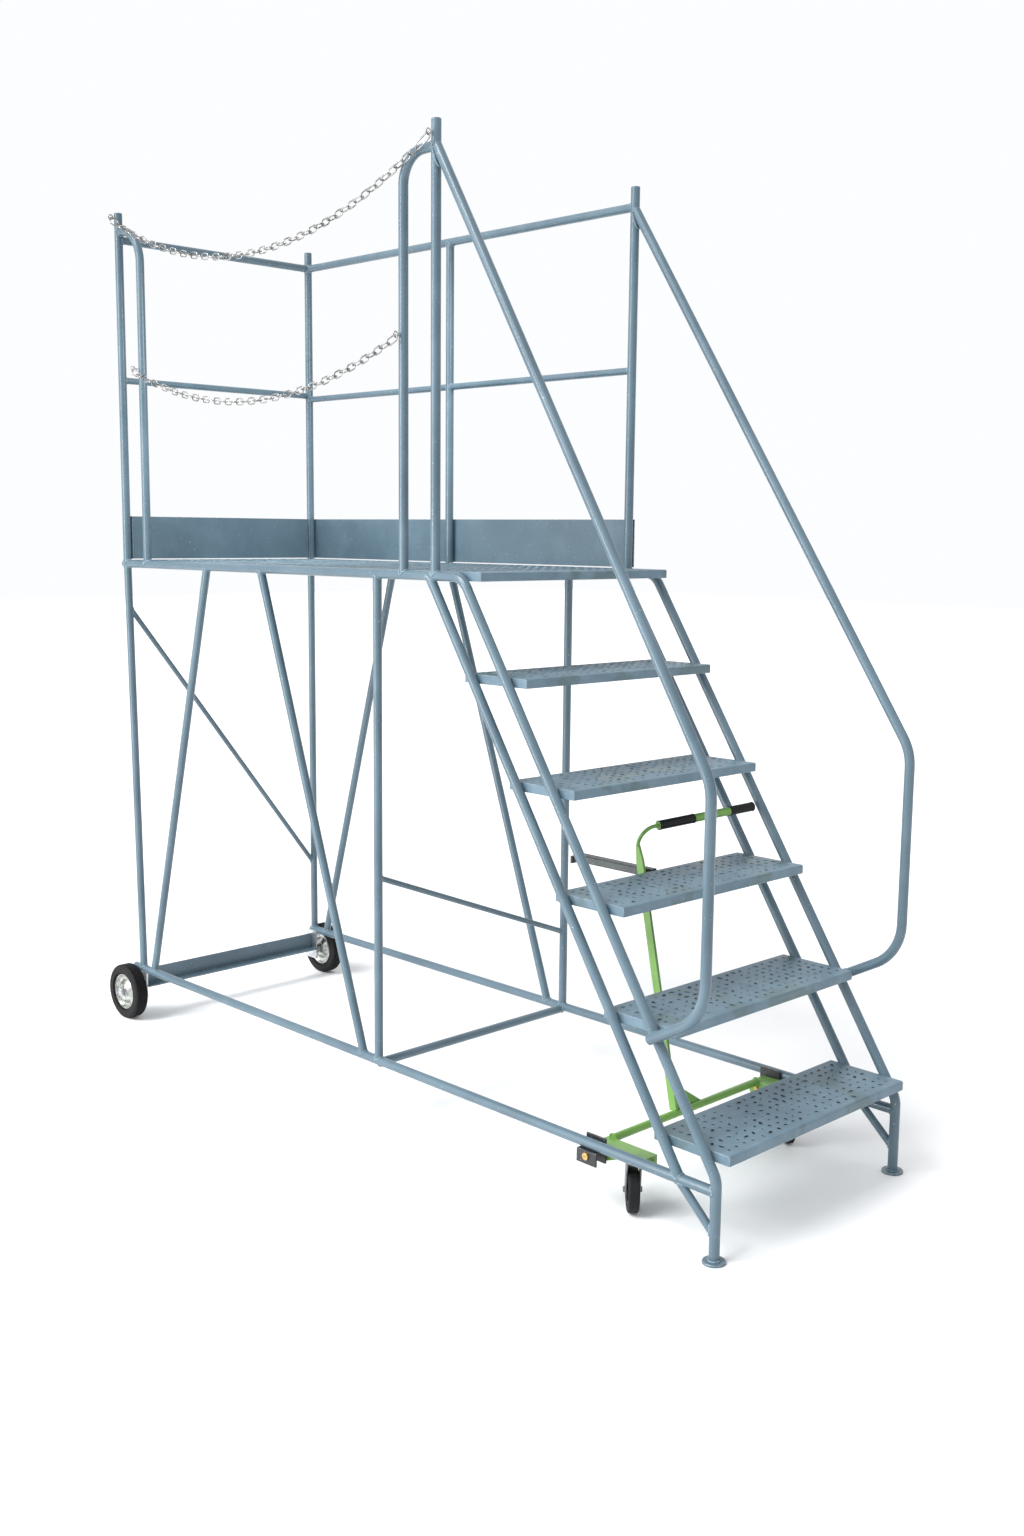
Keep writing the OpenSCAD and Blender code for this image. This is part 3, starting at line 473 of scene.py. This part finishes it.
# Hoops: each has one end on its post and one on the platform's edge
for node, post, way in (("rear_hoop", rear_x, X), ("front_hoop", front_x, -X)):
    hoop_x = high(node).x - TUBE_R if way.x > 0 else low(node).x + TUBE_R
    saddle(welds, Vector((post, -half, high(node).z - TUBE_R)), Z, way, TUBE_R, TUBE_R)
    saddle(welds, Vector((hoop_x, -half, side_z)), X, Z, TUBE_R, TUBE_R)

# The two diagonals between the sides: the x and the height of each end
for near_x, far_x, near_z, far_z in ((rear_x + 0.0035, rear_x, 1.366, 0.414),
                                     (mid_leg_x, mid_leg_x, 0.684, 0.403)):
    join(Vector((near_x, -half, near_z)), Vector((far_x, half, far_z)), Z, Z, BRACE_R, TIE_R)
for side in SIDES:
    saddle(welds, Vector((mid_leg_x, side * half, base_z - 0.006)), X, -Y * side, TUBE_R, BRACE_R)

# Treads: two short runs down each stringer where a tread's end meets it
for nose in noses:
    for side in SIDES:
        y = side * (tread_half + 0.0036)
        for back, start, end in ((FRONT_BACK, -0.002, -0.021), (REAR_BACK, -0.004, -0.021)):
            for shift in (-0.0075, 0.0075):
                a, b = (Vector((stringer_x(z, back) + shift, y, z)) for z in (nose.z + start, nose.z + end))
                bead(welds, [a.lerp(b, t / 6) for t in range(7)], False)
piece("frame_welds", welds, WELD, "frame")

# Spatter low down on the four corner posts
spatter = bmesh.new()
for x, y, z in [(rear_x, s * half, deck_z) for s in SIDES] + [(front_x, s * half, deck_z) for s in SIDES]:
    for _ in range(26):
        a, dz = RNG.uniform(0, 2 * math.pi), RNG.uniform(0.004, 0.05)
        centre = Vector((x + math.cos(a) * TUBE_R, y + math.sin(a) * TUBE_R, z + dz))
        bmesh.ops.create_icosphere(spatter, subdivisions=1, radius=RNG.uniform(0.0004, 0.0011),
                                   matrix=Matrix.Translation(centre))
piece("weld_spatter", spatter, WELD, "frame")

# The cross bar's ends on the lift's arms
ARM_INSIDE = 0.287
BAR_WELD_R = 0.0108
lift_welds = bmesh.new()
bar = middle("cross_bar")
for side in SIDES:
    end = Vector((bar.x, side * ARM_INSIDE, bar.z))
    bead(lift_welds, [end + (X * math.cos(a) + Z * math.sin(a)) * BAR_WELD_R
                      for a in (2 * math.pi * k / 20 for k in range(20))], True)
piece("lift_welds", lift_welds, GREEN, "lift")

# ---------------------------------------------------------------- punched dimples on treads and deck
# A dimple's rings, from its rim inwards: radius and height
DIMPLE = ((0.0066, 0.0), (0.0057, 0.0010), (0.0049, 0.0010), (0.0043, 0.0001))


def dimple(bm, centre, size, stretch, turn):
    """A punched slot: a raised lip round a nearly flat centre painted dark as the shade of a hollow, longer
    one way and turned about Z.
    """
    sides = 10
    spin = Matrix.Rotation(turn, 3, "Z")
    angles = [2 * math.pi * k / sides for k in range(sides)]
    rings = []
    for r, h in DIMPLE:
        shape = [Vector((r * size * math.cos(a), r * size * stretch * math.sin(a), h)) for a in angles]
        rings.append([bm.verts.new(centre + spin @ corner) for corner in shape])
    for a, b in zip(rings, rings[1:]):
        for k in range(sides):
            bm.faces.new((a[k], a[(k + 1) % sides], b[(k + 1) % sides], b[k]))
    # The centre face takes the second material, painted shade where a hollow would be
    bm.faces.new(rings[-1]).material_index = 1


def dimples(name, node, columns, rows, edge):
    """Rows of dimples over a node's top, a little out of line and with a few missing."""
    bm = bmesh.new()
    lo, hi = low(node), high(node)
    for i in range(columns):
        for j in range(rows):
            x = lo.x + edge + (hi.x - lo.x - 2 * edge) * (j + 0.5) / rows + RNG.gauss(0, 0.0016)
            y = lo.y + edge + (hi.y - lo.y - 2 * edge) * (i + 0.5) / columns + RNG.gauss(0, 0.0022)
            if RNG.random() < 0.9:
                size, stretch = RNG.uniform(0.6, 1.1), RNG.uniform(1.0, 2.0)
                dimple(bm, Vector((x, y, hi.z)), size, stretch, RNG.gauss(0.7, 0.8))
    piece(name, bm, [TREAD, HOLLOW_SHADE], "frame")


for k in range(1, STEPS + 1):
    dimples(f"tread_{k}_dimples", f"tread_{k}", 22, 8, 0.016)
dimples("nose_dimples", "nose_plank", 20, 3, 0.012)
dimples("deck_dimples", "deck_planks", 20, 48, 0.02)

# ---------------------------------------------------------------- the latch bar's grey face
lo, hi = low("latch_bar"), high("latch_bar")
FACE_H, FACE_T, FACE_DOWN, STOP_CLEAR = 0.014, 0.0012, 0.0125, 0.012
face = bmesh.new()
bmesh.ops.create_cube(face, size=1.0)
bmesh.ops.scale(face, vec=(hi.x - lo.x - STOP_CLEAR - 0.004, FACE_T, FACE_H), verts=face.verts)
bmesh.ops.bevel(face, geom=face.edges[:], offset=0.0004, segments=2, profile=0.5, affect="EDGES")
centre = ((lo.x + STOP_CLEAR + hi.x) / 2, -FACE_T / 2, hi.z - FACE_DOWN)
bmesh.ops.translate(face, vec=centre, verts=face.verts)
piece("latch_face", face, PANEL, "frame", smooth=False)

# ---------------------------------------------------------------- floor and light


def floor_material():
    s = Shader("floor_pale")
    colour = s.blend(s.noise(3.0, 3.0), (0.86, 0.865, 0.87), (0.90, 0.90, 0.90))
    return s.finish(colour, 0.7, s.bump(s.noise(60.0), 0.1, 0.0005))


bpy.ops.mesh.primitive_plane_add(size=60)
floor = bpy.context.object
floor.name = "floor"
floor.data.materials.append(floor_material())


def smooth_patch(tree, facing, edge, core, strength):
    """Light from around one direction of the sky, fading from core out to edge."""
    dot = tree.nodes.new("ShaderNodeVectorMath")
    dot.operation = "DOT_PRODUCT"
    tree.links.new(tree.nodes.new("ShaderNodeTexCoord").outputs["Generated"], dot.inputs[0])
    dot.inputs[1].default_value = Vector(facing).normalized()
    fade = tree.nodes.new("ShaderNodeMapRange")
    fade.interpolation_type = "SMOOTHSTEP"
    tree.links.new(dot.outputs["Value"], fade.inputs["Value"])
    for key, number in (("From Min", edge), ("From Max", core), ("To Max", strength)):
        fade.inputs[key].default_value = number
    return fade.outputs["Result"]


# The sky is dim all round, with soft brighter patches: ahead of the camera as a background,
# on the near side, at the steps' end, and overhead
WORLD_DIM = 0.40
world = bpy.data.worlds.new("studio")
world.use_nodes = True
sky = world.node_tree
total = WORLD_DIM
for facing, edge, core, strength in (
        ((look.x, look.y, 0.1), 0.35, 0.75, 1.0 - WORLD_DIM),
        ((-0.30, -0.92, 0.35), 0.55, 0.92, 1.1),
        ((0.95, 0.1, 0.15), 0.35, 0.9, 0.45),
        ((0, 0, 1), 0.4, 0.9, 0.45)):
    add = sky.nodes.new("ShaderNodeMath")
    sky.links.new(smooth_patch(sky, facing, edge, core, strength), add.inputs[0])
    if isinstance(total, float):
        add.inputs[1].default_value = total
    else:
        sky.links.new(total, add.inputs[1])
    total = add.outputs[0]
sky.nodes["Background"].inputs["Color"].default_value = (0.975, 0.985, 1.0, 1)
sky.links.new(total, sky.nodes["Background"].inputs["Strength"])
bpy.context.scene.world = world


def aimed(name, data, place, target):
    obj = bpy.data.objects.new(name, data)
    obj.location = place
    obj.rotation_euler = (Vector(target) - Vector(place)).to_track_quat("-Z", "Y").to_euler()
    bpy.context.collection.objects.link(obj)


# A soft sun from the near side, a tall strip for the tubes' highlights, and a small fill that
# reaches the rear toe board from over the deck
key = bpy.data.lights.new("key", "SUN")
key.energy = 2.3
key.angle = math.radians(28)
aimed("key", key, (-1.2, -4.6, 5.4), (0, 0, 0))
strip = bpy.data.lights.new("strip", "AREA")
strip.shape = "RECTANGLE"
strip.size, strip.size_y = 0.7, 4.0
strip.energy = 150
aimed("strip", strip, (-1.8, -5.0, 2.2), (0, 0, 1.3))
end_fill = bpy.data.lights.new("end_fill", "AREA")
end_fill.shape = "RECTANGLE"
end_fill.size, end_fill.size_y = 0.6, 0.4
end_fill.spread = math.radians(80)
end_fill.energy = 4.2
aimed("end_fill", end_fill, (front_x - 0.35, -0.05, deck_z + 0.85), (rear_x, 0, deck_z + 0.05))

view = bpy.context.scene.view_settings
view.view_transform = "Standard"
view.look = "None"
